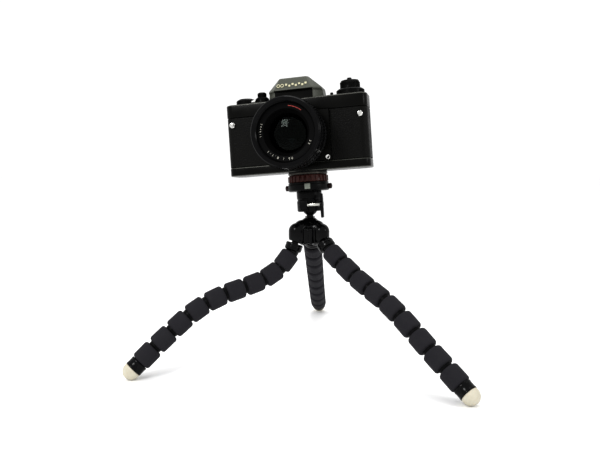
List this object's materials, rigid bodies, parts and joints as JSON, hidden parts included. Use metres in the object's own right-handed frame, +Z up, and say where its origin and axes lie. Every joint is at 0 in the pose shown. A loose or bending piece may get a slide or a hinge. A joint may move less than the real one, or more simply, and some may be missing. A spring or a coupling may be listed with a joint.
{
  "type": "film camera on a flexible tripod",
  "caption": "Single-lens reflex film camera with a fast standard lens, held by a quick release and ball head on a small tripod with bendable foam-ringed legs.",
  "frame": {"origin": "on the ground, midway between the outermost points of the three feet", "axes": "+Z up, +X to the right of a viewer facing the lens, +Y away from that viewer; the camera itself is turned 13 degrees on its ball head"},
  "size_m": [0.3034, 0.3328, 0.2758],
  "materials": {
    "hub_gloss": "glossy injection-moulded black",
    "leg_foam": "charcoal foam rings on black ball links, matte",
    "foot_rubber": "warm white rubber, satin",
    "head_metal": "black anodised, satin",
    "seat_plastic": "grey bearing plastic",
    "bright_steel": "turned steel",
    "lever_gloss": "black",
    "ring_plastic": "dark reddish-brown ribbed plastic",
    "plate_metal": "black with a worn light edge",
    "pad_rubber": "black rubber",
    "button_plastic": "dark red-brown",
    "chassis_cast": "matt black die casting",
    "cover_enamel": "black satin enamel, edges rubbed light",
    "prism_enamel": "satin grey face on black",
    "leatherette": "fine-grained black leatherette",
    "lens_black": "black anodised, satin",
    "eyepiece_plastic": "black",
    "optical_glass": "coated",
    "front_mirror": "front-silvered",
    "control_black": "black anodised, knurled",
    "chrome": "polished",
    "spool_plastic": "black"
  },
  "bodies": {
    "hub": {"leg_hub": "hub_gloss"},
    "left_knuckle": {"left_leg_knuckle": "hub_gloss"},
    "left_bend_1": {"left_leg_section_1": "leg_foam"},
    "left_bend_2": {"left_leg_section_2": "leg_foam"},
    "left_bend_3": {"left_leg_section_3": "leg_foam"},
    "left_bend_4": {"left_leg_section_4": "leg_foam"},
    "left_bend_5": {"left_leg_section_5": "leg_foam", "left_leg_foot": "foot_rubber"},
    "right_knuckle": {"right_leg_knuckle": "hub_gloss"},
    "right_bend_1": {"right_leg_section_1": "leg_foam"},
    "right_bend_2": {"right_leg_section_2": "leg_foam"},
    "right_bend_3": {"right_leg_section_3": "leg_foam"},
    "right_bend_4": {"right_leg_section_4": "leg_foam"},
    "right_bend_5": {"right_leg_section_5": "leg_foam", "right_leg_foot": "foot_rubber"},
    "rear_knuckle": {"rear_leg_knuckle": "hub_gloss"},
    "rear_bend_1": {"rear_leg_section_1": "leg_foam"},
    "rear_bend_2": {"rear_leg_section_2": "leg_foam"},
    "rear_bend_3": {"rear_leg_section_3": "leg_foam"},
    "rear_bend_4": {"rear_leg_section_4": "leg_foam"},
    "rear_bend_5": {"rear_leg_section_5": "leg_foam", "rear_leg_foot": "foot_rubber"},
    "head_stud": {"ball_stud": "head_metal"},
    "head_seat": {"ball_seat": "seat_plastic"},
    "head": {"ball_clamp": "head_metal", "release_base": "head_metal"},
    "clamp_lever": {"clamp_lever": "lever_gloss", "clamp_screw": "bright_steel"},
    "lock_ring": {"lock_ring": "ring_plastic"},
    "button_left": {"release_button_left": "button_plastic"},
    "button_right": {"release_button_right": "button_plastic"},
    "camera": {"release_plate": "plate_metal", "plate_pad": "pad_rubber", "camera_body": "chassis_cast", "top_cover": "cover_enamel", "bottom_cover": "cover_enamel", "prism_cover": "prism_enamel", "leatherette": "leatherette", "eyepiece": "eyepiece_plastic", "lens_mount": "lens_black", "lens_barrel": "lens_black", "strap_lugs": "chrome"},
    "camera_screw": {"camera_screw": "bright_steel"},
    "back_door": {"back_door": "cover_enamel", "pressure_plate": "chassis_cast"},
    "mirror": {"mirror": "front_mirror"},
    "aperture_ring": {"aperture_ring": "lens_black"},
    "focus_ring": {"focus_ring": "lens_black"},
    "front_cell": {"front_cell": "lens_black", "lens_glass": "optical_glass"},
    "rewind_shaft": {"rewind_shaft": "bright_steel"},
    "rewind_knob": {"rewind_knob": "control_black"},
    "rewind_crank": {"rewind_crank": "control_black"},
    "film_speed_collar": {"film_speed_collar": "control_black"},
    "shutter_dial": {"shutter_dial": "control_black"},
    "shutter_button": {"shutter_button": "control_black"},
    "advance_lever": {"advance_lever": "control_black"},
    "takeup_spool": {"takeup_spool": "spool_plastic"},
    "lens_release": {"lens_release_button": "chrome"},
    "meter_switch": {"meter_switch": "control_black"}
  },
  "joints": [
    {"name": "head_pan", "type": "hinge", "parent": "hub", "child": "head_stud", "pos_m": [0.01693, -0.02533, 0.1485], "axis": [0, 0, 1], "continuous": true},
    {"name": "head_side_tilt", "type": "hinge", "parent": "head_stud", "child": "head_seat", "pos_m": [0.01693, -0.02533, 0.1485], "axis": [0.225, 0.9744, 0], "range_deg": [-16, 24]},
    {"name": "head_front_tilt", "type": "hinge", "parent": "head_seat", "child": "head", "pos_m": [0.01693, -0.02533, 0.1485], "axis": [0.9712, -0.2242, 0.0802], "range_deg": [-11, 18]},
    {"name": "plate_lift", "type": "slide", "parent": "head", "child": "camera", "axis": [-0.0639, 0.0792, 0.9948], "range_m": [0, 0.012]},
    {"name": "clamp_lever_turn", "type": "hinge", "parent": "head", "child": "clamp_lever", "pos_m": [0.01394, -0.03694, 0.15225], "axis": [0.9712, -0.2242, 0.0802], "range_deg": [-30, 90]},
    {"name": "lock_ring_turn", "type": "hinge", "parent": "head", "child": "lock_ring", "pos_m": [0.01533, -0.02335, 0.17337], "axis": [-0.0639, 0.0792, 0.9948], "range_deg": [0, 60]},
    {"name": "back_door_open", "type": "hinge", "parent": "camera", "child": "back_door", "pos_m": [-0.05545, 0.01142, 0.21381], "axis": [-0.0639, 0.0792, 0.9948], "range_deg": [0, 110]},
    {"name": "advance_lever_swing", "type": "hinge", "parent": "camera", "child": "advance_lever", "pos_m": [-0.04679, -0.0028, 0.24867], "axis": [-0.0639, 0.0792, 0.9948], "range_deg": [0, 150], "stiffness_Nm_per_rad": 0.01, "springref_deg": -11.46},
    {"name": "takeup_spool_turn", "type": "hinge", "parent": "camera", "child": "takeup_spool", "pos_m": [-0.0469, -0.00328, 0.2487], "axis": [-0.0639, 0.0792, 0.9948], "range_deg": [0, 320]},
    {"name": "focus_turn", "type": "hinge", "parent": "camera", "child": "focus_ring", "pos_m": [0.00161, -0.03985, 0.21855], "axis": [-0.2294, -0.9713, 0.0626], "range_deg": [0, 200]},
    {"name": "front_cell_slide", "type": "slide", "parent": "camera", "child": "front_cell", "axis": [-0.2294, -0.9713, 0.0626], "range_m": [0, 0.0072]},
    {"name": "aperture_turn", "type": "hinge", "parent": "camera", "child": "aperture_ring", "pos_m": [0.00161, -0.03985, 0.21855], "axis": [-0.2294, -0.9713, 0.0626], "range_deg": [-40, 40]},
    {"name": "rewind_lift", "type": "slide", "parent": "camera", "child": "rewind_shaft", "axis": [-0.0639, 0.0792, 0.9948], "range_m": [0, 0.008]},
    {"name": "rewind_turn", "type": "hinge", "parent": "rewind_shaft", "child": "rewind_knob", "pos_m": [0.05553, -0.0265, 0.26376], "axis": [-0.0639, 0.0792, 0.9948], "continuous": true},
    {"name": "rewind_crank_fold", "type": "hinge", "parent": "rewind_knob", "child": "rewind_crank", "pos_m": [0.0619, -0.02754, 0.27098], "axis": [0.2294, 0.9713, -0.0626], "range_deg": [0, 150]},
    {"name": "film_speed_turn", "type": "hinge", "parent": "camera", "child": "film_speed_collar", "pos_m": [0.05595, -0.02703, 0.25719], "axis": [-0.0639, 0.0792, 0.9948], "range_deg": [-120, 120]},
    {"name": "shutter_dial_turn", "type": "hinge", "parent": "camera", "child": "shutter_dial", "pos_m": [-0.03015, -0.00868, 0.2502], "axis": [-0.0639, 0.0792, 0.9948], "range_deg": [0, 300]},
    {"name": "shutter_press", "type": "slide", "parent": "camera", "child": "shutter_button", "axis": [0.0639, -0.0792, -0.9948], "range_m": [0, 0.002], "stiffness_N_per_m": 400, "springref_m": -0.001},
    {"name": "button_left_press", "type": "slide", "parent": "head", "child": "button_left", "axis": [0.9712, -0.2242, 0.0802], "range_m": [0, 0.002], "stiffness_N_per_m": 500, "springref_m": -0.001},
    {"name": "button_right_press", "type": "slide", "parent": "head", "child": "button_right", "axis": [-0.9712, 0.2242, -0.0802], "range_m": [0, 0.002], "stiffness_N_per_m": 500, "springref_m": -0.001},
    {"name": "lens_release_press", "type": "slide", "parent": "camera", "child": "lens_release", "axis": [0.2294, 0.9713, -0.0626], "range_m": [0, 0.0015], "stiffness_N_per_m": 500, "springref_m": -0.001},
    {"name": "mirror_flip", "type": "hinge", "parent": "camera", "child": "mirror", "pos_m": [0.00732, -0.01114, 0.2297], "axis": [-0.9712, 0.2242, -0.0802], "range_deg": [0, 44], "stiffness_Nm_per_rad": 0.02, "springref_deg": -17.19},
    {"name": "meter_switch_turn", "type": "hinge", "parent": "camera", "child": "meter_switch", "pos_m": [0.03573, -0.02594, 0.25581], "axis": [-0.0639, 0.0792, 0.9948], "range_deg": [0, 40]},
    {"name": "camera_screw_turn", "type": "hinge", "parent": "camera", "child": "camera_screw", "pos_m": [0.01466, -0.02252, 0.18382], "axis": [-0.0639, 0.0792, 0.9948], "continuous": true},
    {"name": "left_leg_swing", "type": "hinge", "parent": "hub", "child": "left_knuckle", "pos_m": [0.00386, -0.03035, 0.1195], "axis": [0, 0, 1], "range_deg": [-18, 18]},
    {"name": "left_leg_bend_1", "type": "hinge", "parent": "left_knuckle", "child": "left_bend_1", "pos_m": [-0.00084, -0.03252, 0.10542], "axis": [0.4195, -0.9078, 0], "range_deg": [-1, 41]},
    {"name": "left_leg_bend_2", "type": "hinge", "parent": "left_bend_1", "child": "left_bend_2", "pos_m": [-0.01256, -0.03793, 0.09015], "axis": [-0.4195, 0.9078, 0], "range_deg": [-41, 1]},
    {"name": "left_leg_turn_3", "type": "hinge", "parent": "left_bend_2", "child": "left_bend_3", "pos_m": [-0.04579, -0.05329, 0.07477], "axis": [-0.2164, -0.1, 0.9712], "range_deg": [-20.9, 20.9]},
    {"name": "left_leg_bend_4", "type": "hinge", "parent": "left_bend_3", "child": "left_bend_4", "pos_m": [-0.08039, -0.06928, 0.0629], "axis": [0.4195, -0.9078, 0], "range_deg": [-31, 11]},
    {"name": "left_leg_turn_5", "type": "hinge", "parent": "left_bend_4", "child": "left_bend_5", "pos_m": [-0.11014, -0.08302, 0.04013], "axis": [-0.581, -0.2685, 0.7683], "range_deg": [-21, 21]},
    {"name": "right_leg_swing", "type": "hinge", "parent": "hub", "child": "right_knuckle", "pos_m": [0.02781, -0.03414, 0.1195], "axis": [0, 0, 1], "range_deg": [-18, 18]},
    {"name": "right_leg_bend_1", "type": "hinge", "parent": "right_knuckle", "child": "right_bend_1", "pos_m": [0.03525, -0.04212, 0.10921], "axis": [0.7314, 0.682, 0], "range_deg": [-12, 30]},
    {"name": "right_leg_bend_2", "type": "hinge", "parent": "right_bend_1", "child": "right_bend_2", "pos_m": [0.04652, -0.0542, 0.09793], "axis": [-0.7314, -0.682, 0], "range_deg": [-24, 18]},
    {"name": "right_leg_turn_3", "type": "hinge", "parent": "right_bend_2", "child": "right_bend_3", "pos_m": [0.07039, -0.0798, 0.07866], "axis": [0.2809, -0.3013, 0.9112], "range_deg": [-20.9, 20.9]},
    {"name": "right_leg_bend_4", "type": "hinge", "parent": "right_bend_3", "child": "right_bend_4", "pos_m": [0.09447, -0.10563, 0.06003], "axis": [0.7314, 0.682, 0], "range_deg": [-26, 16]},
    {"name": "right_leg_turn_5", "type": "hinge", "parent": "right_bend_4", "child": "right_bend_5", "pos_m": [0.11645, -0.1292, 0.03633], "axis": [0.3943, -0.4229, 0.8159], "range_deg": [-21, 21]},
    {"name": "rear_leg_swing", "type": "hinge", "parent": "hub", "child": "rear_knuckle", "pos_m": [0.01912, -0.0115, 0.1195], "axis": [0, 0, 1], "range_deg": [-18, 18]},
    {"name": "rear_leg_bend_1", "type": "hinge", "parent": "rear_knuckle", "child": "rear_bend_1", "pos_m": [0.01995, -0.00024, 0.10963], "axis": [-0.9973, 0.0732, 0], "range_deg": [-14, 28]},
    {"name": "rear_leg_bend_2", "type": "hinge", "parent": "rear_bend_1", "child": "rear_bend_2", "pos_m": [0.02116, 0.01626, 0.09839], "axis": [0.9973, -0.0732, 0], "range_deg": [-21, 21]},
    {"name": "rear_leg_turn_3", "type": "hinge", "parent": "rear_bend_2", "child": "rear_bend_3", "pos_m": [0.02358, 0.04927, 0.07593], "axis": [0.0401, 0.5457, 0.837], "range_deg": [-21, 21]},
    {"name": "rear_leg_bend_4", "type": "hinge", "parent": "rear_bend_3", "child": "rear_bend_4", "pos_m": [0.02599, 0.08207, 0.05318], "axis": [-0.9973, 0.0732, 0], "range_deg": [-18, 24]},
    {"name": "rear_leg_turn_5", "type": "hinge", "parent": "rear_bend_4", "child": "rear_bend_5", "pos_m": [0.02844, 0.11546, 0.03129], "axis": [0.0368, 0.5012, 0.8645], "range_deg": [-20.8, 20.8]}
  ],
  "couplings": [
    {"joint": "front_cell_slide", "follows": "focus_turn", "m_per_rad": 0.0020054},
    {"joint": "takeup_spool_turn", "follows": "advance_lever_swing", "ratio": 2.1}
  ]
}
